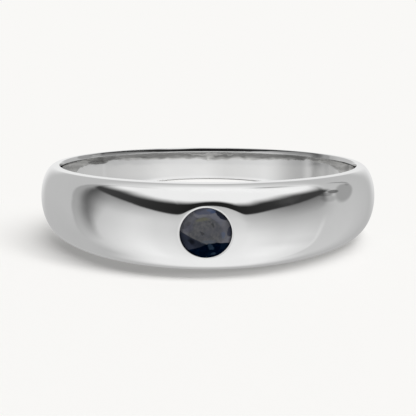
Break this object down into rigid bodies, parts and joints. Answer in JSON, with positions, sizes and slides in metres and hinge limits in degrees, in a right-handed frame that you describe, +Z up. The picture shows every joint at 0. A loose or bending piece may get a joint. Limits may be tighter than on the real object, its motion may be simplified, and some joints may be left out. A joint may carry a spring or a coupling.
{
  "type": "christening ring",
  "caption": "Domed baby ring, wide and thick at the front and slim at the back, lying on its side, with a small round dark blue stone set flush in the front.",
  "frame": {"origin": "on the surface that the ring lies on, under the middle of the ring's box", "axes": "+Z up, the stone faces -Y, the finger hole runs along +Z and leans back 4.7 degrees towards +Y"},
  "size_m": [0.0136, 0.0144, 0.0035],
  "materials": {
    "silver": "mirror polish",
    "sapphire": "polished facets"
  },
  "bodies": {
    "root": {"band": "silver", "stone": "sapphire"}
  },
  "joints": []
}
